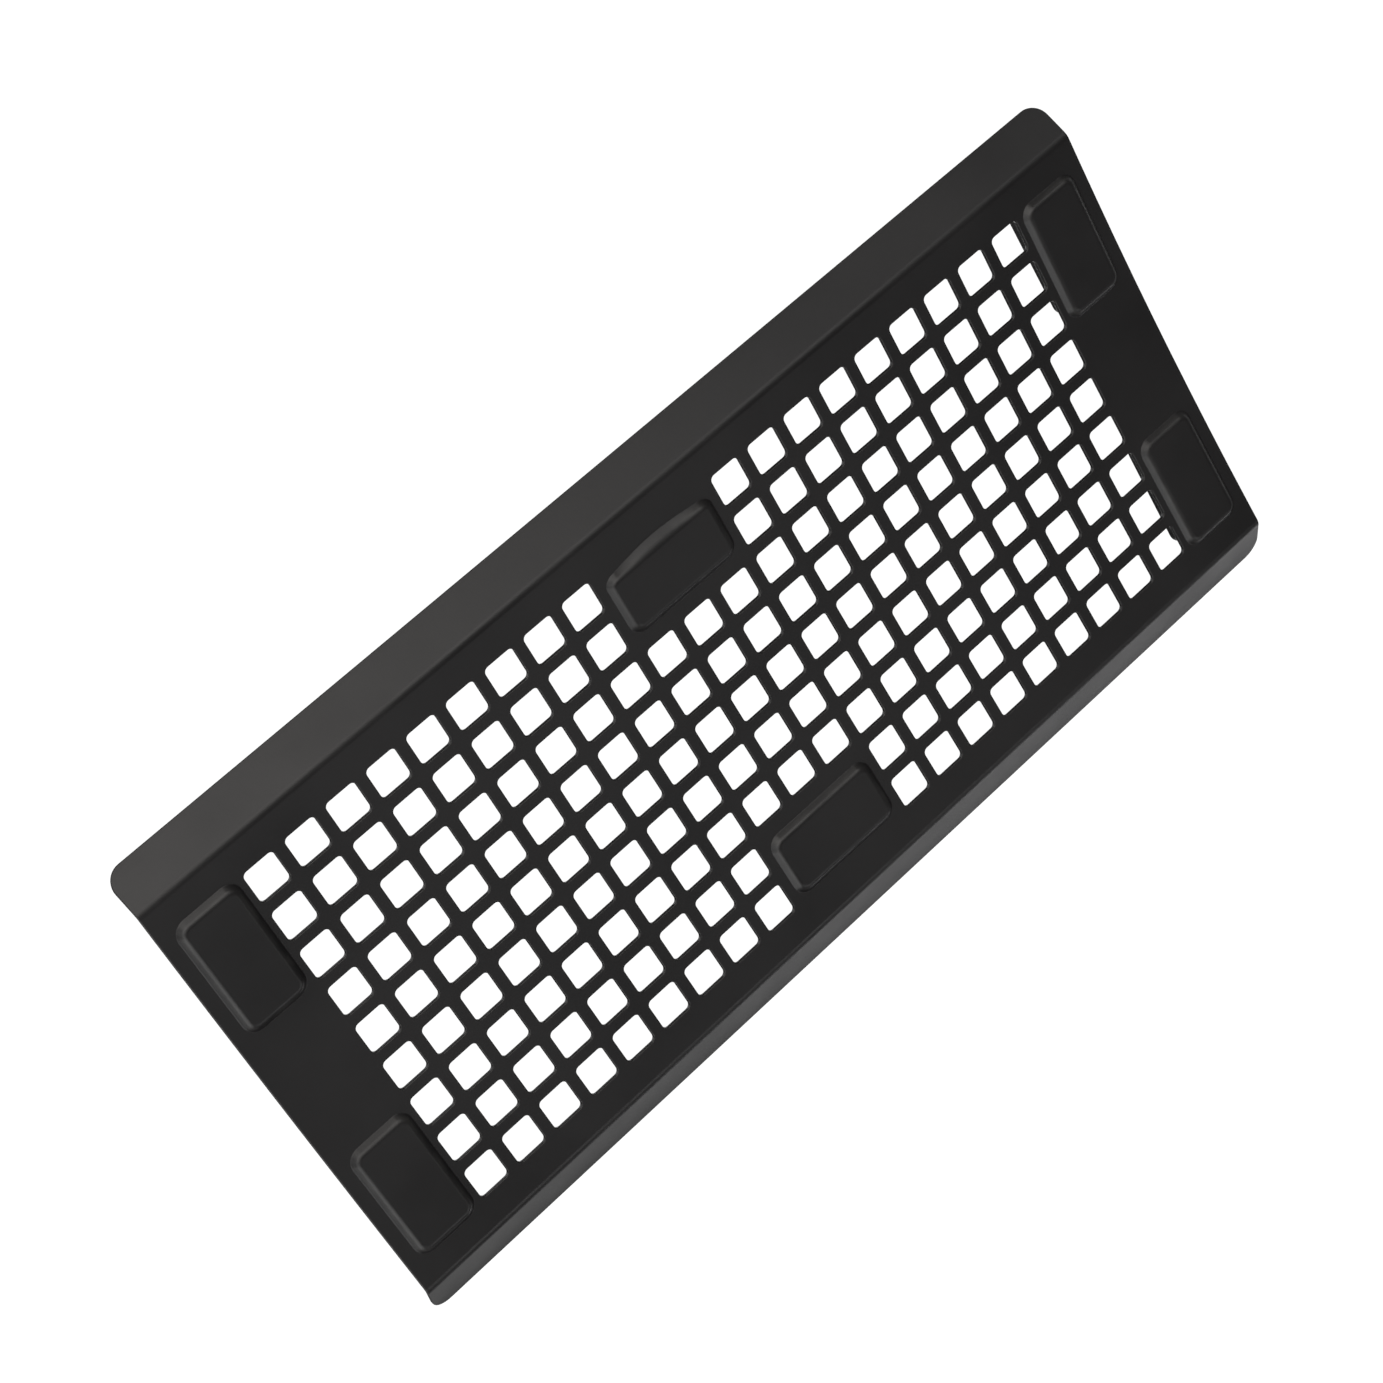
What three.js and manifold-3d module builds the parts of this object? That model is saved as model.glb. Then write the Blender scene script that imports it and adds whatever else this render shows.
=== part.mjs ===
// Magnetic queen excluder for a hive entrance: a thin black perforated panel, slightly hollow
// across its front face, whose two long edges slope back as flanges. Its six housings each hold
// a block magnet on a tape pad.
// Millimetres. +X runs along the panel, +Y across it, +Z points out of its front face.
// The origin is under the panel's centre, on the plane that the rims and the magnets rest on.
import * as THREE from 'three';
import { mergeGeometries, mergeVertices } from 'three/addons/utils/BufferGeometryUtils.js';
import Module from 'manifold-3d';

const wasm = await Module();
wasm.setup();

// The grid of square holes. A worker bee passes a hole and a queen does not.
const HOLE_SIDE = 4.2;
const HOLE_PITCH = 5.75;
const HOLE_CORNER_CUT = 0.5;
const COLUMNS = 21;
const ROWS = 9;
// The middle housings stand on solid sheet: this many holes are left out beside each of them.
const BLANK_COLUMNS = 3;
const BLANK_ROWS = 2;

// The panel, a thin sheet. Its face dips by DISH between the two folds, and past each fold a
// flange slopes down to the rim.
const PANEL_LENGTH = 142.0;
const SHEET = 0.6;
const FACE_HALF_WIDTH = 28.7;
const DISH = 0.85;
const RIM_HALF_WIDTH = 34.0;
const FLANGE_ANGLE = THREE.MathUtils.degToRad(34);
const FOLD_RADIUS = 1.7;
const FOLD_STEPS = 5;
const RIM_CORNER_RADIUS = 2.3;

// The housings: raised on the front face, and reaching down to the resting plane behind it.
const HOUSING_LENGTH = 15.8;
const HOUSING_WIDTH = 8.3;
const HOUSING_CORNER = 1.6;
const HOUSING_RAISE = 0.7;
const HOUSING_EDGE = 0.5;
const HOUSING_WALL = 0.9;
const END_HOUSING_X = 64.8;
const END_HOUSING_Y = 17.55;
const MIDDLE_HOUSING_Y = 20.1;

// What each housing holds: a tape pad under its roof, and a block magnet up to the open end.
const POCKET_CORNER = 0.6;
const MAGNET_THICKNESS = 2.5;
const MAGNET_CLEARANCE = 0.1;
const MAGNET_CORNER = 0.5;
const MAGNET_EDGE = 0.2;
const TAPE_THICKNESS = 0.25;
const TAPE_INSET = 0.4;
const TAPE_CORNER = 0.4;

const ARC_STEPS = 3;
const CUT_PAST = 1;
// Corners of neighbouring faces that lie this close are one point.
const SAME_POINT = 1e-5;

// The dished face is an arc. It meets each fold at the angle FACE_END_ANGLE.
const FACE_RADIUS = (FACE_HALF_WIDTH ** 2 + DISH ** 2) / (2 * DISH);
const FACE_END_ANGLE = Math.asin(FACE_HALF_WIDTH / FACE_RADIUS);

// Where the fold's arc is centred. The flange's slope from it to the rim gives its height.
const FOLD_CENTRE_Y = FACE_HALF_WIDTH + FOLD_RADIUS * Math.sin(FACE_END_ANGLE);
const FLANGE_TOP_Y = FOLD_CENTRE_Y + FOLD_RADIUS * Math.sin(FLANGE_ANGLE);
const RIM_TOP_Z = SHEET * Math.cos(FLANGE_ANGLE);
const FLANGE_TOP_Z = RIM_TOP_Z + (RIM_HALF_WIDTH - FLANGE_TOP_Y) * Math.tan(FLANGE_ANGLE);
const FOLD_CENTRE_Z = FLANGE_TOP_Z - FOLD_RADIUS * Math.cos(FLANGE_ANGLE);
const FACE_END_Z = FOLD_CENTRE_Z + FOLD_RADIUS * Math.cos(FACE_END_ANGLE);
const FACE_MIDDLE_Z = FACE_END_Z - DISH;

const POCKET_TOP_Z = MAGNET_THICKNESS + TAPE_THICKNESS;

const panelPlastic = new THREE.MeshStandardMaterial({ color: 0x242322, roughness: 0.45, metalness: 0 });
const magnetNickel = new THREE.MeshStandardMaterial({ color: 0xb9b7b1, roughness: 0.3, metalness: 1 });
const tapeFoam = new THREE.MeshStandardMaterial({ color: 0x6f7276, roughness: 0.9, metalness: 0 });

// The two long directions that a housing can lie in.
const ALONG_X = 0;
const ALONG_Y = Math.PI / 2;

const housings = [
  { place: 'left_rear', x: -END_HOUSING_X, y: END_HOUSING_Y, turn: ALONG_Y },
  { place: 'left_front', x: -END_HOUSING_X, y: -END_HOUSING_Y, turn: ALONG_Y },
  { place: 'middle_rear', x: 0, y: MIDDLE_HOUSING_Y, turn: ALONG_X },
  { place: 'middle_front', x: 0, y: -MIDDLE_HOUSING_Y, turn: ALONG_X },
  { place: 'right_rear', x: END_HOUSING_X, y: END_HOUSING_Y, turn: ALONG_Y },
  { place: 'right_front', x: END_HOUSING_X, y: -END_HOUSING_Y, turn: ALONG_Y },
];

function toSolid(geometry) {
  const bare = geometry.clone();
  bare.deleteAttribute('normal');
  bare.deleteAttribute('uv');
  const merged = mergeVertices(bare, SAME_POINT);
  return new wasm.Manifold(new wasm.Mesh({
    numProp: 3,
    vertProperties: merged.attributes.position.array,
    triVerts: new Uint32Array(merged.index.array),
  }));
}

function toGeometry(solid) {
  const mesh = solid.getMesh();
  const geometry = new THREE.BufferGeometry();
  geometry.setAttribute('position', new THREE.BufferAttribute(mesh.vertProperties, 3));
  geometry.setIndex(new THREE.BufferAttribute(mesh.triVerts, 1));
  const faceted = geometry.toNonIndexed();
  faceted.computeVertexNormals();
  return faceted;
}

// A centred rectangle whose corners are round arcs.
function roundedRectangle(length, width, radius) {
  const x = length / 2 - radius;
  const y = width / 2 - radius;
  const quarter = Math.PI / 2;
  const shape = new THREE.Shape();
  shape.absarc(x, y, radius, 0, quarter);
  shape.absarc(-x, y, radius, quarter, 2 * quarter);
  shape.absarc(-x, -y, radius, 2 * quarter, 3 * quarter);
  shape.absarc(x, -y, radius, 3 * quarter, 4 * quarter);
  return shape;
}

// An upright block of that outline from bottom to top.
function roundedBlock(length, width, radius, bottom, top) {
  const shape = roundedRectangle(length, width, radius);
  const block = new THREE.ExtrudeGeometry(shape, {
    depth: top - bottom,
    bevelEnabled: false,
    curveSegments: ARC_STEPS,
  });
  return block.translate(0, 0, bottom);
}

// The same block with its top and bottom edges cut back by a bevel of the given size.
function beveledBlock(length, width, radius, bottom, top, edge) {
  const shape = roundedRectangle(length, width, radius);
  const block = new THREE.ExtrudeGeometry(shape, {
    depth: top - bottom - 2 * edge,
    bevelThickness: edge,
    bevelSize: edge,
    bevelOffset: -edge,
    bevelSegments: 1,
    curveSegments: ARC_STEPS,
  });
  return block.translate(0, 0, bottom + edge);
}

function placed(geometry, housing) {
  return geometry.rotateZ(housing.turn).translate(housing.x, housing.y, 0);
}

// How far the face leans from level at a distance across the panel, and how high it is there.
function faceLean(across) {
  return Math.asin(across / FACE_RADIUS);
}

function faceHeight(across) {
  return FACE_MIDDLE_Z + FACE_RADIUS * (1 - Math.cos(faceLean(across)));
}

// The sheet's section across the panel: one half's inner line and outer line, and their mirror.
// The face's corners lie halfway between two rows of holes.
function sheetSection() {
  const outer = [];
  const inner = [];
  const addCorner = (across, height, lean) => {
    const normal = new THREE.Vector2(Math.sin(lean), Math.cos(lean));
    const corner = new THREE.Vector2(across, height);
    outer.push(corner);
    inner.push(corner.clone().addScaledVector(normal, -SHEET));
  };
  for (let across = HOLE_PITCH / 2; across < FACE_HALF_WIDTH; across += HOLE_PITCH) {
    addCorner(across, faceHeight(across), -faceLean(across));
  }
  for (let step = 0; step <= FOLD_STEPS; step += 1) {
    const lean = THREE.MathUtils.lerp(-FACE_END_ANGLE, FLANGE_ANGLE, step / FOLD_STEPS);
    const across = FOLD_CENTRE_Y + FOLD_RADIUS * Math.sin(lean);
    addCorner(across, FOLD_CENTRE_Z + FOLD_RADIUS * Math.cos(lean), lean);
  }
  addCorner(RIM_HALF_WIDTH, RIM_TOP_Z, FLANGE_ANGLE);

  const half = [...inner, ...outer.reverse()];
  const mirrored = half.map((point) => new THREE.Vector2(-point.x, point.y));
  return new THREE.Shape([...half, ...mirrored.reverse()]);
}

// The section swept along X, then cut to an outline whose four rim corners are round.
function sheet() {
  const sweep = new THREE.ExtrudeGeometry(sheetSection(), { depth: PANEL_LENGTH, bevelEnabled: false });
  sweep.translate(0, 0, -PANEL_LENGTH / 2);
  const acrossToX = new THREE.Matrix4().makeBasis(
    new THREE.Vector3(0, 1, 0),
    new THREE.Vector3(0, 0, 1),
    new THREE.Vector3(1, 0, 0),
  );
  sweep.applyMatrix4(acrossToX);
  const outline = roundedBlock(
    PANEL_LENGTH,
    2 * RIM_HALF_WIDTH,
    RIM_CORNER_RADIUS,
    -CUT_PAST,
    FACE_END_Z + CUT_PAST,
  );
  return toSolid(sweep).intersect(toSolid(outline));
}

// A square with its corners cut off, as wide as one hole.
function holeOutline() {
  const half = HOLE_SIDE / 2;
  const inner = half - HOLE_CORNER_CUT;
  const corners = [];
  for (let quarter = 0; quarter < 4; quarter += 1) {
    const turn = (quarter * Math.PI) / 2;
    corners.push(new THREE.Vector2(half, inner).rotateAround(new THREE.Vector2(), turn));
    corners.push(new THREE.Vector2(inner, half).rotateAround(new THREE.Vector2(), turn));
  }
  return new THREE.Shape(corners);
}

function isBlank(column, row) {
  const fromMiddle = Math.abs(column - (COLUMNS - 1) / 2);
  const besideHousing = fromMiddle <= (BLANK_COLUMNS - 1) / 2;
  const nearEdge = row < BLANK_ROWS || row >= ROWS - BLANK_ROWS;
  return besideHousing && nearEdge;
}

// Every hole of the grid as one tool that cuts through the sheet.
function holeGrid() {
  const shape = holeOutline();
  const holes = [];
  for (let column = 0; column < COLUMNS; column += 1) {
    for (let row = 0; row < ROWS; row += 1) {
      if (!isBlank(column, row)) {
        const hole = new THREE.ExtrudeGeometry(shape, {
          depth: SHEET + DISH + 2 * CUT_PAST,
          bevelEnabled: false,
        });
        const x = (column - (COLUMNS - 1) / 2) * HOLE_PITCH;
        const y = (row - (ROWS - 1) / 2) * HOLE_PITCH;
        holes.push(hole.translate(x, y, FACE_MIDDLE_Z - SHEET - CUT_PAST));
      }
    }
  }
  return toSolid(mergeGeometries(holes));
}

// A housing's outer form: square to the dished face that it stands on, and cut level below. The
// bevel round its lower end lies past that cut.
function housingForm(housing) {
  const height = faceHeight(housing.y);
  const form = beveledBlock(
    HOUSING_LENGTH,
    HOUSING_WIDTH,
    HOUSING_CORNER,
    -height - HOUSING_EDGE - CUT_PAST,
    HOUSING_RAISE,
    HOUSING_EDGE,
  );
  form.rotateZ(housing.turn).rotateX(faceLean(housing.y)).translate(housing.x, housing.y, height);
  const below = roundedBlock(
    HOUSING_LENGTH + 2 * CUT_PAST,
    HOUSING_WIDTH + 2 * CUT_PAST,
    HOUSING_CORNER,
    -HOUSING_EDGE - 3 * CUT_PAST,
    0,
  );
  return toSolid(form).subtract(toSolid(placed(below, housing)));
}

// The pocket behind a housing, open at the resting plane.
function pocket(housing) {
  const space = roundedBlock(
    HOUSING_LENGTH - 2 * HOUSING_WALL,
    HOUSING_WIDTH - 2 * HOUSING_WALL,
    POCKET_CORNER,
    -CUT_PAST,
    POCKET_TOP_Z,
  );
  return toSolid(placed(space, housing));
}

function excluderPanel() {
  let panel = sheet().subtract(holeGrid());
  for (const housing of housings) {
    panel = panel.add(housingForm(housing));
  }
  for (const housing of housings) {
    panel = panel.subtract(pocket(housing));
  }
  return toGeometry(panel);
}

function magnet(housing) {
  const block = beveledBlock(
    HOUSING_LENGTH - 2 * HOUSING_WALL - 2 * MAGNET_CLEARANCE,
    HOUSING_WIDTH - 2 * HOUSING_WALL - 2 * MAGNET_CLEARANCE,
    MAGNET_CORNER,
    0,
    MAGNET_THICKNESS,
    MAGNET_EDGE,
  );
  return placed(block, housing);
}

function tapePad(housing) {
  const pad = roundedBlock(
    HOUSING_LENGTH - 2 * HOUSING_WALL - 2 * TAPE_INSET,
    HOUSING_WIDTH - 2 * HOUSING_WALL - 2 * TAPE_INSET,
    TAPE_CORNER,
    MAGNET_THICKNESS,
    POCKET_TOP_Z,
  );
  return placed(pad, housing);
}

function named(name, geometry, material) {
  const mesh = new THREE.Mesh(geometry, material);
  mesh.name = name;
  return mesh;
}

const queenExcluder = new THREE.Group();
queenExcluder.add(named('excluder_panel', excluderPanel(), panelPlastic));
for (const housing of housings) {
  queenExcluder.add(named(`magnet_${housing.place}`, magnet(housing), magnetNickel));
  queenExcluder.add(named(`tape_pad_${housing.place}`, tapePad(housing), tapeFoam));
}

export default queenExcluder;
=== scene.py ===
"""The looks of a magnetic queen excluder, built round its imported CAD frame.

A thin satin-black perforated plate, slightly dished, with two sloping edges, six housings moulded
in it, and a nickel-plated block magnet on a foam tape pad in each housing. Sizes are in
millimetres up to the point where a mesh is made, and in metres from there on, unless a comment
says otherwise. X runs along the plate, Y across it and Z out of its front face.
"""

import math

import bpy
from mathutils import Matrix, Vector
from mathutils.geometry import delaunay_2d_cdt


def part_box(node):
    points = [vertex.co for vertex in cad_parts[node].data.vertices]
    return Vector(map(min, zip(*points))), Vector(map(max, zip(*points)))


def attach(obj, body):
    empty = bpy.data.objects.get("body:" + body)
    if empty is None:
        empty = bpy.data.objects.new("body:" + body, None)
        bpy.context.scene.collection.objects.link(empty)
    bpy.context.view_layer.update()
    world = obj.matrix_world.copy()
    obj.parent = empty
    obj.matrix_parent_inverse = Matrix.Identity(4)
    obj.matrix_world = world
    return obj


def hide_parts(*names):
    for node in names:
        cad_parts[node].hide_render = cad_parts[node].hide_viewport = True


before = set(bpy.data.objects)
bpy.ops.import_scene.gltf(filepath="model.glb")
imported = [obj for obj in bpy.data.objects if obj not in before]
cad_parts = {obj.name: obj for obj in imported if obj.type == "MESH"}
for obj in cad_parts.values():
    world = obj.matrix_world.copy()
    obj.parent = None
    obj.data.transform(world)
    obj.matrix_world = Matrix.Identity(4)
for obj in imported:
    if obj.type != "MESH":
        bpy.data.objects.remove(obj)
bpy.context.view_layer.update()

MM = 0.001

# ---------------------------------------------------------------------------------------------
# Sizes
# ---------------------------------------------------------------------------------------------

# The grid of square holes.
HOLE_SIDE = 4.2
HOLE_PITCH = 5.75
HOLE_CORNER = 0.62
COLUMNS = 21
ROWS = 9
BLANK_COLUMNS = 3
BLANK_ROWS = 2

# The sheet: its dished face and its two folded flanges.
SHEET = 0.6
FACE_HALF_WIDTH = 28.7
DISH = 0.85
FLANGE_ANGLE = math.radians(34)
FOLD_RADIUS = 1.7
RIM_CORNER = 2.3
SHEET_EDGE = 0.14

# The housings. A housing's front rises from a hollow foot at a slope and rounds over into its
# top.
HOUSING_RAISE = 0.7
HOUSING_CORNER = 1.6
HOUSING_WALL = 0.9
FRONT_SPREAD = 0.28
FRONT_FOOT_ROUND = 0.2
FRONT_EDGE_ROUND = 1.0
FRONT_SLOPE = math.radians(44)
BACK_FOOT_FILLET = 0.35
RIM_EDGE = 0.12

# One housing sank a little in the mould: its rear side stands further in, and slopes gently to a
# foot that bows out.
SUNK_HOUSING = "middle_rear"
SUNK_IN = 0.5
SUNK_BOW = 0.65
SUNK_STEPS = 12

# What the housings hold.
POCKET_CORNER = 0.6
MAGNET_CLEARANCE = 0.1
MAGNET_CORNER = 0.5
MAGNET_EDGE = 0.22
TAPE_CORNER = 0.4
TAPE_BULGE = 0.08

# How far the points between the holes stay from a housing's outline.
HOUSING_CLEAR = 0.8

# How finely round forms are cut.
HOLE_CORNER_STEPS = 5
EDGE_STEPS = 2
HOUSING_CORNER_STEPS = 8
ROUND_STEPS = 5
FOLD_STEPS = 8
RIM_CORNER_STEPS = 10

# How a flat area is filled with faces: the way that keeps only what is inside its outlines, and
# how close two points are when they are one.
FILL_INSIDE = 1
SAME_POINT = 1e-6

# What the CAD frame gives.
plate_low, plate_high = (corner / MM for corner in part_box("excluder_panel"))
HALF_LENGTH = (plate_high.x - plate_low.x) / 2
RIM_HALF_WIDTH = (plate_high.y - plate_low.y) / 2
POCKET_TOP_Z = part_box("tape_pad_left_rear")[1].z / MM

# The section's arcs: the hollow face, and the fold between it and the flange's slope.
FACE_RADIUS = (FACE_HALF_WIDTH**2 + DISH**2) / (2 * DISH)
FACE_END_ANGLE = math.asin(FACE_HALF_WIDTH / FACE_RADIUS)
FACE_ARC = FACE_RADIUS * FACE_END_ANGLE
FOLD_ARC = FOLD_RADIUS * (FACE_END_ANGLE + FLANGE_ANGLE)
FOLD_CENTRE_Y = FACE_HALF_WIDTH + FOLD_RADIUS * math.sin(FACE_END_ANGLE)
FLANGE_TOP_Y = FOLD_CENTRE_Y + FOLD_RADIUS * math.sin(FLANGE_ANGLE)
SLOPE = (RIM_HALF_WIDTH - FLANGE_TOP_Y) / math.cos(FLANGE_ANGLE)
DEVELOPED_HALF = FACE_ARC + FOLD_ARC + SLOPE

# Heights, from the rims that stand on the resting plane up.
FLANGE_TOP_Z = SHEET * math.cos(FLANGE_ANGLE) + SLOPE * math.sin(FLANGE_ANGLE)
FOLD_CENTRE_Z = FLANGE_TOP_Z - FOLD_RADIUS * math.cos(FLANGE_ANGLE)
FACE_END_Z = FOLD_CENTRE_Z + FOLD_RADIUS * math.cos(FACE_END_ANGLE)
FACE_MIDDLE_Z = FACE_END_Z - DISH

QUARTER = math.radians(90)

# ---------------------------------------------------------------------------------------------
# Mesh building
# ---------------------------------------------------------------------------------------------


class Skin:
    """Points with exact normals and the faces between them, which together close one mesh."""

    def __init__(self):
        self.points = []
        self.normals = []
        self.wear_and_highlight = []
        self.faces = []

    def add_point(self, point, normal, wear_and_highlight=0.0):
        self.points.append(point)
        self.normals.append(normal.normalized())
        self.wear_and_highlight.append(wear_and_highlight)
        return len(self.points) - 1

    def add_face(self, corners):
        """Adds a face, turned so that it looks the way its corners' normals do."""
        origin = self.points[corners[0]]
        turn = Vector()
        for first, second in zip(corners[1:], corners[2:]):
            turn += (self.points[first] - origin).cross(self.points[second] - origin)
        facing = sum((self.normals[i] for i in corners), Vector())
        self.faces.append(corners if turn.dot(facing) > 0 else corners[::-1])

    def join(self, ring, next_ring):
        """A band of four-sided faces between two closed rings with as many points each."""
        for i in range(len(ring)):
            j = (i + 1) % len(ring)
            self.add_face([ring[i], ring[j], next_ring[j], next_ring[i]])

    def join_all(self, rings):
        for ring, next_ring in zip(rings, rings[1:]):
            self.join(ring, next_ring)

    def fill(self, flat, outline, openings=(), lines=(), loose=()):
        """Fills the area inside the outline ring and outside the opening rings.

        flat maps a point's number to its place in the plane where the filling is done, lines are
        pairs of outline points that an edge has to join, and loose are points between the rings.
        """
        used = [i for ring in (outline, *openings, loose) for i in ring]
        local = {number: place for place, number in enumerate(used)}
        loops = [[local[i] for i in ring] for ring in (outline, *openings)]
        edges = [(local[a], local[b]) for a, b in lines]
        _, _, faces, origins, _, face_origins = delaunay_2d_cdt(
            [flat[i] for i in used], edges, loops, FILL_INSIDE, SAME_POINT
        )
        for face, loops_round_it in zip(faces, face_origins):
            if list(loops_round_it) == [0]:
                self.add_face([used[origins[corner][0]] for corner in face])

    def to_object(self, name):
        mesh = bpy.data.meshes.new(name)
        mesh.from_pydata([point * MM for point in self.points], [], self.faces)
        mesh.validate()
        # This mask marks the rounded edges: worn nickel on the magnets, and a painted edge
        # highlight on the black plastic.
        wear_and_highlight = mesh.attributes.new("edge_wear_and_highlight", "FLOAT", "POINT")
        wear_and_highlight.data.foreach_set("value", self.wear_and_highlight)
        mesh.polygons.foreach_set("use_smooth", [True] * len(mesh.polygons))
        mesh.normals_split_custom_set_from_vertices(self.normals)
        piece = bpy.data.objects.new(name, mesh)
        bpy.context.scene.collection.objects.link(piece)
        return piece


def arc(start, end, steps):
    return [start + (end - start) * step / steps for step in range(steps + 1)]


def rounded_loop(centre, half, radius, steps):
    """A rounded rectangle's points, each with the direction that points out of it."""
    loop = []
    for corner, (side_x, side_y) in enumerate(((1, 1), (-1, 1), (-1, -1), (1, -1))):
        middle = centre + Vector((side_x * (half.x - radius), side_y * (half.y - radius)))
        for angle in arc(corner * QUARTER, (corner + 1) * QUARTER, steps):
            out = Vector((math.cos(angle), math.sin(angle)))
            loop.append((middle + radius * out, out))
    return loop


def upright_ring(skin, loop, out_by, z, normal_out, normal_up, wear_and_highlight=0.0):
    """A ring at one height, moved out from the loop, whose normals lean out and up as given."""
    ring = []
    for place, out in loop:
        moved = place + out_by * out
        normal = Vector((normal_out * out.x, normal_out * out.y, normal_up))
        ring.append(skin.add_point(Vector((moved.x, moved.y, z)), normal, wear_and_highlight))
    return ring


# ---------------------------------------------------------------------------------------------
# The perforated plate
# ---------------------------------------------------------------------------------------------


def on_sheet(x, across, depth):
    """The point at a developed place, at a depth under the front surface, with the sheet's
    normal and its direction across the plate there."""
    side = math.copysign(1, across)
    past_face = abs(across) - FACE_ARC
    if past_face <= 0:
        lean = -across / FACE_RADIUS
    else:
        lean = side * min(past_face / FOLD_RADIUS - FACE_END_ANGLE, FLANGE_ANGLE)
    normal = Vector((0, math.sin(lean), math.cos(lean)))
    along = Vector((0, math.cos(lean), -math.sin(lean)))
    if past_face <= 0:
        face_centre = Vector((x, 0, FACE_MIDDLE_Z + FACE_RADIUS))
        return face_centre - (FACE_RADIUS + depth) * normal, normal, along
    fold_centre = Vector((x, side * FOLD_CENTRE_Y, FOLD_CENTRE_Z))
    down_slope = max(past_face - FOLD_ARC, 0) * side
    return fold_centre + (FOLD_RADIUS - depth) * normal + down_slope * along, normal, along


def sheet_ring(skin, flat, loop, out_by, depth, normal_out, normal_up, wear_and_highlight=0.0):
    """A ring at one depth under the sheet's front surface, moved out from a developed loop."""
    ring = []
    for place, out in loop:
        developed = place + out_by * out
        point, normal, along = on_sheet(developed.x, developed.y, depth)
        outward = Vector((out.x, 0, 0)) + out.y * along
        number = skin.add_point(point, normal_out * outward + normal_up * normal, wear_and_highlight)
        flat[number] = developed
        ring.append(number)
    return ring


def grid_lines(count):
    """The places of the lines that run halfway between neighbouring holes, and past the last."""
    return [(line - count / 2) * HOLE_PITCH for line in range(count + 1)]


def cross_stops():
    """The developed places across the sheet where its section is divided, from side to side."""
    fold = [FACE_ARC + past for past in arc(0, FOLD_ARC, FOLD_STEPS)]
    return [-stop for stop in reversed(fold)] + grid_lines(ROWS) + fold


def sheet_outline():
    """The developed sheet's rounded outline, with a point on each short side at each stop."""
    half = Vector((HALF_LENGTH, DEVELOPED_HALF))
    corners = rounded_loop(Vector((0, 0)), half, RIM_CORNER, RIM_CORNER_STEPS)
    per_corner = RIM_CORNER_STEPS + 1
    left = [(Vector((-HALF_LENGTH, stop)), Vector((-1, 0))) for stop in reversed(cross_stops())]
    right = [(Vector((HALF_LENGTH, stop)), Vector((1, 0))) for stop in cross_stops()]
    upper = corners[: 2 * per_corner]
    lower = corners[2 * per_corner :]
    return upper + left + lower + right


def edge_rings(skin, flat, loop):
    """Rings that carry the sheet's front surface over a rounded edge to its back surface. The
    loop's own directions leave the sheet."""
    rings = []
    front = [(turn, SHEET_EDGE * (1 - math.cos(turn))) for turn in arc(0, QUARTER, EDGE_STEPS)]
    back = [(2 * QUARTER - turn, SHEET - depth) for turn, depth in reversed(front)]
    for turn, depth in front + back:
        out_by = SHEET_EDGE * (math.sin(turn) - 1)
        # How much painted edge highlight the plastic gets here, most halfway round the edge.
        wear_and_highlight = math.sin(2 * turn) ** 2
        rings.append(
            sheet_ring(skin, flat, loop, out_by, depth, math.sin(turn), math.cos(turn), wear_and_highlight)
        )
    skin.join_all(rings)
    return rings[0], rings[-1]


def is_blank(column, row):
    beside_housing = abs(column - (COLUMNS - 1) / 2) <= (BLANK_COLUMNS - 1) / 2
    near_edge = row < BLANK_ROWS or row >= ROWS - BLANK_ROWS
    return beside_housing and near_edge


def hole_loops():
    """Each hole's outline, with the direction that leaves the sheet: into the hole."""
    half = Vector((HOLE_SIDE / 2, HOLE_SIDE / 2))
    for column in range(COLUMNS):
        for row in range(ROWS):
            if not is_blank(column, row):
                x = (column - (COLUMNS - 1) / 2) * HOLE_PITCH
                y = (row - (ROWS - 1) / 2) * HOLE_PITCH
                loop = rounded_loop(Vector((x, y)), half, HOLE_CORNER, HOLE_CORNER_STEPS)
                yield [(place, -out) for place, out in loop]


def magnet_places():
    """Each magnet's place name, centre and half size, from the CAD frame."""
    for node in sorted(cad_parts):
        if node.startswith("magnet_"):
            low, high = (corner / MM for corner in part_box(node))
            yield node.removeprefix("magnet_"), (low + high) / 2, (high - low) / 2


def front_profile():
    """A housing's front from its foot to its top: out from its outline, height, lean, and how
    much painted edge highlight it gets.
    """
    rise = 1 - math.cos(FRONT_SLOPE)
    straight = HOUSING_RAISE - (FRONT_FOOT_ROUND + FRONT_EDGE_ROUND) * rise
    run = (FRONT_FOOT_ROUND + FRONT_EDGE_ROUND) * math.sin(FRONT_SLOPE)
    top_start = FRONT_SPREAD - run - straight / math.tan(FRONT_SLOPE)
    profile = []
    for turn in arc(0, FRONT_SLOPE, ROUND_STEPS):
        out_by = FRONT_SPREAD - FRONT_FOOT_ROUND * math.sin(turn)
        profile.append((out_by, FRONT_FOOT_ROUND * (1 - math.cos(turn)), turn, 0))
    for turn in arc(FRONT_SLOPE, 0, ROUND_STEPS):
        out_by = top_start + FRONT_EDGE_ROUND * math.sin(turn)
        height = HOUSING_RAISE - FRONT_EDGE_ROUND * (1 - math.cos(turn))
        profile.append((out_by, height, turn, math.sin(2 * turn) ** 2))
    return profile


def sunk_loop(loop):
    """The loop with its rear side moved in and divided, and how far its foot bows out at each
    point."""
    moved = [(place - Vector((0, SUNK_IN * max(out.y, 0))), out) for place, out in loop]
    right = moved[HOUSING_CORNER_STEPS][0]
    left = moved[HOUSING_CORNER_STEPS + 1][0]
    side = []
    bows = []
    for share in arc(0, 1, SUNK_STEPS)[1:-1]:
        side.append((right.lerp(left, share), Vector((0, 1))))
        bows.append(SUNK_BOW * math.sin(2 * QUARTER * share))
    before = moved[: HOUSING_CORNER_STEPS + 1]
    after = moved[HOUSING_CORNER_STEPS + 1 :]
    return before + side + after, [0] * len(before) + bows + [0] * len(after)


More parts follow.
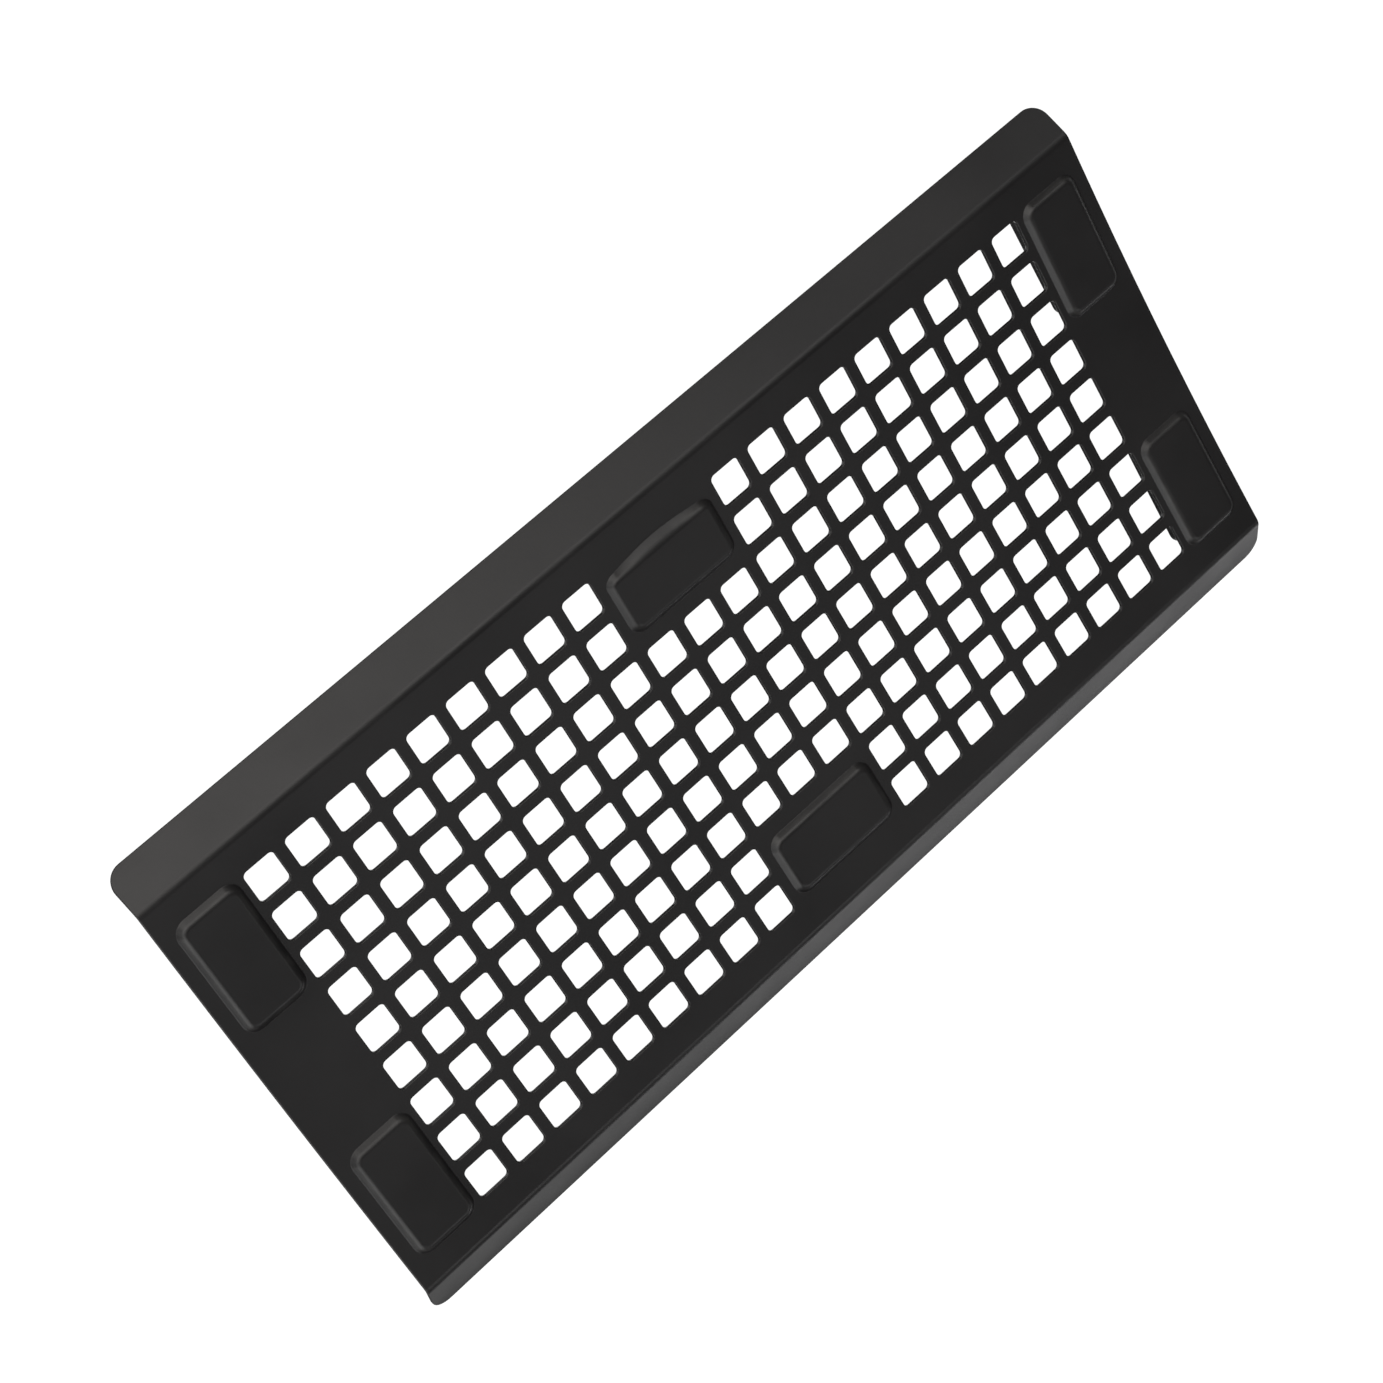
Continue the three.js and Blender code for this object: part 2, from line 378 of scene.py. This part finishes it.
def housing_front(skin, flat, loop, bows):
    """A housing's raised front. Returns the ring where it meets the sheet's front surface."""
    rings = []
    for out_by, height, turn, wear_and_highlight in front_profile():
        ring = []
        for corner, bow in zip(loop, bows):
            bowed_by = out_by + bow * (1 - height / HOUSING_RAISE)
            normal_out = math.sin(turn)
            normal_up = math.cos(turn) + bow / HOUSING_RAISE * math.sin(turn)
            ring += sheet_ring(
                skin, flat, [corner], bowed_by, -height, normal_out, normal_up, wear_and_highlight
            )
        rings.append(ring)
    skin.join_all(rings)
    skin.fill(flat, rings[-1])
    return rings[0]


def housing_back(skin, flat, loop, pocket_loop):
    """A housing's wall and pocket behind the sheet. Returns the ring on the back surface."""
    fillet = BACK_FOOT_FILLET
    rings = []
    for turn in arc(0, QUARTER, ROUND_STEPS):
        out_by = fillet * (1 - math.sin(turn))
        depth = SHEET + fillet * (1 - math.cos(turn))
        rings.append(
            sheet_ring(skin, flat, loop, out_by, depth, math.sin(turn), -math.cos(turn))
        )

    # The wall goes on square to the sheet, down to the level rim.
    rim_loop = []
    for place, out in loop:
        start, normal, _ = on_sheet(place.x, place.y, SHEET + fillet)
        end = start - normal * (start.z - RIM_EDGE) / normal.z
        rim_loop.append((end.xy, out))
    # The rim's rounded edges get the plastic's painted edge highlight, most halfway round.
    for turn in arc(0, QUARTER, EDGE_STEPS):
        out_by = RIM_EDGE * (math.cos(turn) - 1)
        z = RIM_EDGE * (1 - math.sin(turn))
        wear_and_highlight = math.sin(2 * turn) ** 2
        rings.append(
            upright_ring(skin, rim_loop, out_by, z, math.cos(turn), -math.sin(turn), wear_and_highlight)
        )
    for turn in arc(0, QUARTER, EDGE_STEPS):
        out_by = RIM_EDGE * (1 - math.sin(turn))
        z = RIM_EDGE * (1 - math.cos(turn))
        wear_and_highlight = math.sin(2 * turn) ** 2
        rings.append(
            upright_ring(skin, pocket_loop, out_by, z, -math.sin(turn), -math.cos(turn), wear_and_highlight)
        )
    rings.append(upright_ring(skin, pocket_loop, 0, POCKET_TOP_Z, -1, 0))
    skin.join_all(rings)
    skin.add_face(upright_ring(skin, pocket_loop, 0, POCKET_TOP_Z, 0, -1))
    return rings[0]


def is_clear(place, footprints):
    """Whether a place is outside every housing, by HOUSING_CLEAR at least."""
    for centre, half in footprints:
        past_x = abs(place.x - centre.x) - half.x
        past_y = abs(place.y - centre.y) - half.y
        if max(past_x, past_y) <= HOUSING_CLEAR:
            return False
    return True


def bar_crossings(skin, flat, depth, footprints):
    """Points where the bars between the holes cross, at a depth, clear of the housings."""
    for x in grid_lines(COLUMNS):
        for y in grid_lines(ROWS):
            place = Vector((x, y))
            if is_clear(place, footprints):
                point, normal, _ = on_sheet(x, y, depth)
                number = skin.add_point(point, normal if depth == 0 else -normal)
                flat[number] = place
                yield number


def perforated_plate():
    skin = Skin()
    flat = {}
    outline_front, outline_back = edge_rings(skin, flat, sheet_outline())
    front_openings = []
    back_openings = []
    for loop in hole_loops():
        front, back = edge_rings(skin, flat, loop)
        front_openings.append(front)
        back_openings.append(back)
    footprints = []
    for name, centre, half in magnet_places():
        pocket_half = half.xy + Vector((MAGNET_CLEARANCE, MAGNET_CLEARANCE))
        housing_half = pocket_half + Vector((HOUSING_WALL, HOUSING_WALL))
        footprints.append((centre.xy, housing_half))
        loop = rounded_loop(centre.xy, housing_half, HOUSING_CORNER, HOUSING_CORNER_STEPS)
        pocket_loop = rounded_loop(centre.xy, pocket_half, POCKET_CORNER, HOUSING_CORNER_STEPS)
        front_loop, bows = sunk_loop(loop) if name == SUNK_HOUSING else (loop, [0] * len(loop))
        front_openings.append(housing_front(skin, flat, front_loop, bows))
        back_openings.append(housing_back(skin, flat, loop, pocket_loop))

    # An edge runs along the plate at each fold stop, between an outline point on its left side
    # and one on its right side.
    stops = cross_stops()
    first_left = 2 * (RIM_CORNER_STEPS + 1)
    fronts = (outline_front, front_openings, 0)
    backs = (outline_back, back_openings, SHEET)
    for outline, openings, depth in (fronts, backs):
        left = outline[first_left : first_left + len(stops)]
        right = reversed(outline[-len(stops) :])
        lines = [
            ends for stop, *ends in zip(reversed(stops), left, right) if abs(stop) >= FACE_ARC
        ]
        loose = list(bar_crossings(skin, flat, depth, footprints))
        skin.fill(flat, outline, openings, lines, loose)
    return skin.to_object("perforated_plate")


# ---------------------------------------------------------------------------------------------
# Magnets and tape pads
# ---------------------------------------------------------------------------------------------


def block_magnet(place, centre, half):
    """A block with rounded corners and edges."""
    skin = Skin()
    loop = rounded_loop(centre.xy, half.xy, MAGNET_CORNER, HOUSING_CORNER_STEPS)
    bottom = centre.z - half.z
    top = centre.z + half.z
    rings = []
    for turn in arc(-QUARTER, QUARTER, 2 * ROUND_STEPS + 1):
        out_by = MAGNET_EDGE * (math.cos(turn) - 1)
        edge_z = bottom + MAGNET_EDGE if turn < 0 else top - MAGNET_EDGE
        z = edge_z + MAGNET_EDGE * math.sin(turn)
        wear_and_highlight = math.sin(2 * turn) ** 2
        rings.append(upright_ring(skin, loop, out_by, z, math.cos(turn), math.sin(turn), wear_and_highlight))
    skin.join_all(rings)
    skin.add_face(rings[0])
    skin.add_face(rings[-1])
    return skin.to_object(f"block_magnet_{place}")


def foam_tape(place):
    """A thin pad whose cut side bulges a little between its two stuck faces."""
    skin = Skin()
    low, high = (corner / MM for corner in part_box(f"tape_pad_{place}"))
    centre = (low + high) / 2
    half = (high - low) / 2
    loop = rounded_loop(centre.xy, half.xy, TAPE_CORNER, HOUSING_CORNER_STEPS)
    rings = []
    for turn in arc(-QUARTER, QUARTER, 2 * ROUND_STEPS):
        out_by = TAPE_BULGE * math.cos(turn)
        z = centre.z + half.z * math.sin(turn)
        rings.append(upright_ring(skin, loop, out_by, z, math.cos(turn), math.sin(turn)))
    skin.join_all(rings)
    skin.add_face(rings[0])
    skin.add_face(rings[-1])
    return skin.to_object(f"foam_tape_{place}")


# ---------------------------------------------------------------------------------------------
# Materials
# ---------------------------------------------------------------------------------------------

# The range from none to all, and the parts of a noise's range that a pattern uses.
SHARE = (0, 1)
MOST_NOISE = (0.3, 0.7)
MIDDLE_NOISE = (0.35, 0.65)
PATCH_NOISE = (0.4, 0.7)
SCUFF_NOISE = (0.35, 0.75)

# The black plastic: how large its patterns are, how deep its relief is, how rough it is between
# the mottle's low and high places, what smears add to that, how much of an edge gets a painted
# highlight, and the colours, the last of which is the painted edge highlight.
PLASTIC_MOTTLE = 22
PLASTIC_GRAIN = 0.28
PLASTIC_GRAIN_DEPTH = 0.004
PLASTIC_WAVE = 30
PLASTIC_WAVE_DEPTH = 0.05
PLASTIC_ROUGHNESS = (0.34, 0.42)
PLASTIC_SMEAR = 7
SMEAR_ROUGHNESS = (-0.03, 0.03)
HIGHLIGHT_PATCH = 3.0
HIGHLIGHT_SHARE = (0.15, 1)
BLACK = (0.0088, 0.0082, 0.0085, 1)
LIGHTER_BLACK = (0.0126, 0.0118, 0.0121, 1)
EDGE_HIGHLIGHT_BLACK = (0.030, 0.029, 0.028, 1)

# The nickel plating. A scuff is SCUFF_STRETCH times as long as it is wide.
NICKEL_CLOUD = 4
NICKEL_ROUGHNESS = (0.22, 0.3)
SCUFF = 0.35
SCUFF_DEPTH = 0.006
SCUFF_STRETCH = 14
SCUFF_ROUGHNESS = (-0.06, 0.1)
NICKEL = (0.60, 0.585, 0.55, 1)
PALE_NICKEL = (0.68, 0.665, 0.635, 1)
WORN_NICKEL = (0.45, 0.43, 0.40, 1)

# The foam tape.
FOAM_CELL = 0.18
FOAM_CELL_DEPTH = 0.02
FOAM_ROUGHNESS = (0.82, 0.95)
DARK_FOAM = (0.12, 0.125, 0.135, 1)
PALE_FOAM = (0.2, 0.205, 0.215, 1)

WHITE = (1, 1, 1, 1)


class Shader:
    """A material with one Principled shader, and short ways to add and link its nodes."""

    def __init__(self, name):
        self.material = bpy.data.materials.new(name)
        self.material.use_nodes = True
        self.nodes = self.material.node_tree.nodes
        self.links = self.material.node_tree.links
        self.principled = self.nodes["Principled BSDF"]
        self.place = self.nodes.new("ShaderNodeTexCoord").outputs["Object"]

    def link(self, value, socket):
        if isinstance(value, bpy.types.NodeSocket):
            self.links.new(value, socket)
        else:
            socket.default_value = value

    def noise(self, size_mm, detail, roughness=0.5, stretch=(1, 1, 1)):
        """Noise whose features are about size_mm across, stretched along each axis as given."""
        mapping = self.nodes.new("ShaderNodeMapping")
        mapping.inputs["Scale"].default_value = [1 / factor for factor in stretch]
        self.links.new(self.place, mapping.inputs["Vector"])
        node = self.nodes.new("ShaderNodeTexNoise")
        node.inputs["Scale"].default_value = 1 / (size_mm * MM)
        node.inputs["Detail"].default_value = detail
        node.inputs["Roughness"].default_value = roughness
        self.links.new(mapping.outputs["Vector"], node.inputs["Vector"])
        return node.outputs["Fac"]

    def attribute(self, name):
        node = self.nodes.new("ShaderNodeAttribute")
        node.attribute_name = name
        return node.outputs["Fac"]

    def span(self, value, source, target):
        """Maps value from its source range to the target range, clamped."""
        node = self.nodes.new("ShaderNodeMapRange")
        self.links.new(value, node.inputs["Value"])
        node.inputs["From Min"].default_value = source[0]
        node.inputs["From Max"].default_value = source[1]
        node.inputs["To Min"].default_value = target[0]
        node.inputs["To Max"].default_value = target[1]
        return node.outputs["Result"]

    def math(self, operation, first, second):
        node = self.nodes.new("ShaderNodeMath")
        node.operation = operation
        self.link(first, node.inputs[0])
        self.link(second, node.inputs[1])
        return node.outputs["Value"]

    def mix(self, factor, first, second):
        """A colour between first and second."""
        node = self.nodes.new("ShaderNodeMix")
        node.data_type = "RGBA"
        self.link(factor, node.inputs["Factor"])
        self.link(first, node.inputs["A"])
        self.link(second, node.inputs["B"])
        return node.outputs["Result"]

    def bump(self, height, depth_mm, under=None):
        """A surface normal tilted by the height's relief, over that of another bump if given."""
        node = self.nodes.new("ShaderNodeBump")
        node.inputs["Distance"].default_value = depth_mm * MM
        self.links.new(height, node.inputs["Height"])
        if under is not None:
            self.links.new(under, node.inputs["Normal"])
        return node.outputs["Normal"]

    def set(self, name, value):
        self.link(value, self.principled.inputs[name])


def black_plastic():
    """Satin black moulded plastic: a faint mottle, a fine grain, and a painted highlight along
    its edges, in patches.
    """
    shader = Shader("black_plastic")
    mottle = shader.noise(PLASTIC_MOTTLE, detail=4)
    grain = shader.noise(PLASTIC_GRAIN, detail=2)
    body = shader.mix(shader.span(mottle, MIDDLE_NOISE, SHARE), BLACK, LIGHTER_BLACK)
    patches = shader.span(shader.noise(HIGHLIGHT_PATCH, detail=4), PATCH_NOISE, HIGHLIGHT_SHARE)
    # A painted edge highlight: the bevels turn a lighter black, in patches.
    edge_highlight = shader.math("MULTIPLY", shader.attribute("edge_wear_and_highlight"), patches)
    shader.set("Base Color", shader.mix(edge_highlight, body, EDGE_HIGHLIGHT_BLACK))
    smear = shader.noise(PLASTIC_SMEAR, detail=5, roughness=0.6)
    roughness = shader.span(mottle, MOST_NOISE, PLASTIC_ROUGHNESS)
    smeared = shader.span(smear, MOST_NOISE, SMEAR_ROUGHNESS)
    shader.set("Roughness", shader.math("ADD", roughness, smeared))
    waves = shader.bump(shader.noise(PLASTIC_WAVE, detail=1), PLASTIC_WAVE_DEPTH)
    shader.set("Normal", shader.bump(grain, PLASTIC_GRAIN_DEPTH, under=waves))
    return shader.material


def nickel_plate():
    """Bright nickel plating with faint scuffs along the block and worn edges."""
    shader = Shader("nickel_plate")
    cloud = shader.noise(NICKEL_CLOUD, detail=5)
    scuffs = shader.noise(SCUFF, detail=3, stretch=(SCUFF_STRETCH, 1, 1))
    plating = shader.mix(shader.span(cloud, MIDDLE_NOISE, SHARE), NICKEL, PALE_NICKEL)
    shader.set("Base Color", shader.mix(shader.attribute("edge_wear_and_highlight"), plating, WORN_NICKEL))
    shader.set("Metallic", 1.0)
    roughness = shader.span(cloud, SHARE, NICKEL_ROUGHNESS)
    scuffed = shader.span(scuffs, SCUFF_NOISE, SCUFF_ROUGHNESS)
    shader.set("Roughness", shader.math("ADD", roughness, scuffed))
    shader.set("Normal", shader.bump(scuffs, SCUFF_DEPTH))
    return shader.material


def grey_foam():
    """Grey closed-cell foam tape."""
    shader = Shader("grey_foam")
    cells = shader.noise(FOAM_CELL, detail=4, roughness=0.65)
    shade = shader.span(cells, MOST_NOISE, SHARE)
    shader.set("Base Color", shader.mix(shade, DARK_FOAM, PALE_FOAM))
    shader.set("Roughness", shader.span(cells, SHARE, FOAM_ROUGHNESS))
    shader.set("Normal", shader.bump(cells, FOAM_CELL_DEPTH))
    return shader.material


# ---------------------------------------------------------------------------------------------
# Stage, light and camera
# ---------------------------------------------------------------------------------------------

# The floor, in metres: how far it reaches from the middle, and how far under the plate it lies.
FLOOR_HALF = 3.0
FLOOR_GAP = 0.0002

# How brightly the floor glows in reflections, and where it is looked at. Under the plate it fades
# out of the reflections over the width given below, in millimetres: a painted shadow of the
# plate.
FLOOR_GREY = (0.1, 0.1, 0.1, 1)
FLOOR_ROUGHNESS = 0.9
FLOOR_GLOW = (0.76, 1.02)
PAINTED_SHADOW_FADE = 8.0

# How brightly the room glows in reflections, and where it is looked at.
ROOM_GLOW = (0.06, 0.85)

# Each panel light: where it stands, as an angle round from +X and an angle above the floor, its
# sides in metres, how bright it looks, and its colour. All stand as many metres off.
LIGHT_DISTANCE = 1.2
NEUTRAL = (1, 1, 1)
PANEL_LIGHTS = {
    "key_rear": (105, 50, 1.15, 1.2, 2.1, (1.0, 0.97, 0.94)),
    "side_left": (213, 31, 0.8, 0.9, 1.9, NEUTRAL),
    "corner_left": (163, 40, 0.65, 0.7, 1.5, NEUTRAL),
    "high_front": (-77, 46, 0.8, 0.18, 2.4, NEUTRAL),
    "low_front": (-64, -2, 0.6, 0.2, 5.2, (0.98, 0.97, 1.0)),
    "top_right": (46, 52, 0.4, 0.55, 1.15, NEUTRAL),
    "under_right": (-50, -60, 1.0, 1.0, 1.6, NEUTRAL),
    "under_left": (130, -60, 1.0, 1.0, 1.2, NEUTRAL),
}


def past_plate(shader):
    """How far a place is past the plate's outline: 0 under the plate, 1 past PAINTED_SHADOW_FADE."""
    axes = shader.nodes.new("ShaderNodeSeparateXYZ")
    shader.links.new(shader.place, axes.inputs["Vector"])
    past = []
    for axis, half in (("X", HALF_LENGTH), ("Y", RIM_HALF_WIDTH)):
        off_middle = shader.math("ABSOLUTE", axes.outputs[axis], 0)
        fading = (half * MM, (half + PAINTED_SHADOW_FADE) * MM)
        past.append(shader.span(off_middle, fading, SHARE))
    return shader.math("MAXIMUM", *past)


def pale_floor():
    """Looks pale all over, but fades out of reflections under the plate: a painted shadow of the
    plate in them, which also lets the underside be lit. It can be seen through from below."""
    shader = Shader("pale_floor")
    shader.set("Base Color", FLOOR_GREY)
    shader.set("Roughness", FLOOR_ROUGHNESS)
    shader.set("Specular IOR Level", 0.0)
    shader.set("Emission Color", WHITE)
    looked_at = shader.nodes.new("ShaderNodeLightPath").outputs["Is Camera Ray"]
    shader.set("Emission Strength", shader.span(looked_at, SHARE, FLOOR_GLOW))
    solid = shader.math("MAXIMUM", past_plate(shader), looked_at)
    from_below = shader.nodes.new("ShaderNodeNewGeometry").outputs["Backfacing"]
    # Under the plate, reflections see through the floor: a painted shadow of the plate.
    painted_shadow_or_below = shader.math("MAXIMUM", shader.math("SUBTRACT", 1, solid), from_below)
    clear = shader.nodes.new("ShaderNodeBsdfTransparent")
    choice = shader.nodes.new("ShaderNodeMixShader")
    shader.links.new(painted_shadow_or_below, choice.inputs["Fac"])
    shader.links.new(shader.principled.outputs["BSDF"], choice.inputs[1])
    shader.links.new(clear.outputs["BSDF"], choice.inputs[2])
    shader.links.new(choice.outputs["Shader"], shader.nodes["Material Output"].inputs["Surface"])
    return shader.material


def floor():
    mesh = bpy.data.meshes.new("floor")
    corners = ((-1, -1), (1, -1), (1, 1), (-1, 1))
    points = [(FLOOR_HALF * x, FLOOR_HALF * y, -FLOOR_GAP) for x, y in corners]
    mesh.from_pydata(points, [], [(0, 1, 2, 3)])
    mesh.materials.append(pale_floor())
    ground = bpy.data.objects.new("floor", mesh)
    bpy.context.scene.collection.objects.link(ground)


def direction(azimuth, elevation):
    """The unit vector at an angle round from +X and an angle above the floor, in degrees."""
    around = math.radians(azimuth)
    above = math.radians(elevation)
    return Vector(
        (math.cos(above) * math.cos(around), math.cos(above) * math.sin(around), math.sin(above))
    )


def panel_light(name, azimuth, elevation, length, width, radiance, colour):
    """A rectangular panel that faces the plate and looks as bright as radiance says."""
    light = bpy.data.lights.new(name, "AREA")
    light.shape = "RECTANGLE"
    light.size = length
    light.size_y = width
    # A panel of radiance L and area A gives off pi * A * L watts.
    light.energy = math.pi * length * width * radiance
    light.color = colour
    lamp = bpy.data.objects.new(name, light)
    toward = direction(azimuth, elevation)
    lamp.location = LIGHT_DISTANCE * toward
    lamp.rotation_mode = "QUATERNION"
    lamp.rotation_quaternion = toward.to_track_quat("Z", "Y")
    bpy.context.scene.collection.objects.link(lamp)


def room():
    """A white room, which glows less in reflections than where it is looked at."""
    world = bpy.data.worlds.new("room")
    world.use_nodes = True
    nodes = world.node_tree.nodes
    links = world.node_tree.links
    looked_at = nodes.new("ShaderNodeLightPath").outputs["Is Camera Ray"]
    glow = nodes.new("ShaderNodeMapRange")
    glow.inputs["To Min"].default_value = ROOM_GLOW[0]
    glow.inputs["To Max"].default_value = ROOM_GLOW[1]
    links.new(looked_at, glow.inputs["Value"])
    links.new(glow.outputs["Result"], nodes["Background"].inputs["Strength"])
    nodes["Background"].inputs["Color"].default_value = WHITE
    bpy.context.scene.world = world


def studio():
    for name, setting in PANEL_LIGHTS.items():
        panel_light(name, *setting)
    room()
    bpy.context.scene.view_settings.view_transform = "Standard"


# The camera stands over the plate's rear edge and is rolled so that the plate lies across it.
CAMERA_AZIMUTH = 123.66
CAMERA_ELEVATION = 57.15
CAMERA_ROLL = 109.53
CAMERA_LENS = 76.58
CAMERA_DISTANCE = 335.6
CAMERA_AIM = (-5.76, 5.88, FACE_MIDDLE_Z)

# How near and how far it sees, in metres.
CAMERA_NEAR = 0.01
CAMERA_FAR = 20


def camera():
    lens = bpy.data.cameras.new("camera")
    lens.lens = CAMERA_LENS
    lens.clip_start = CAMERA_NEAR
    lens.clip_end = CAMERA_FAR
    eye = bpy.data.objects.new("camera", lens)
    back = direction(CAMERA_AZIMUTH, CAMERA_ELEVATION)
    level_right = Vector((0, 0, 1)).cross(back).normalized()
    level_up = back.cross(level_right)
    roll = math.radians(CAMERA_ROLL)
    right = math.cos(roll) * level_right + math.sin(roll) * level_up
    up = back.cross(right)
    turn = Matrix((right, up, back)).transposed().to_4x4()
    place = (Vector(CAMERA_AIM) + CAMERA_DISTANCE * back) * MM
    eye.matrix_world = Matrix.Translation(place) @ turn
    bpy.context.scene.collection.objects.link(eye)
    bpy.context.scene.camera = eye


# ---------------------------------------------------------------------------------------------
# The whole scene
# ---------------------------------------------------------------------------------------------


def finish_piece(piece, material, node):
    piece.data.materials.append(material)
    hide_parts(node)
    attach(piece, "root")


camera()
studio()
floor()

finish_piece(perforated_plate(), black_plastic(), "excluder_panel")
nickel = nickel_plate()
foam = grey_foam()
for place, centre, half in magnet_places():
    magnet = block_magnet(place, centre, half)
    finish_piece(magnet, nickel, f"magnet_{place}")
    finish_piece(foam_tape(place), foam, f"tape_pad_{place}")
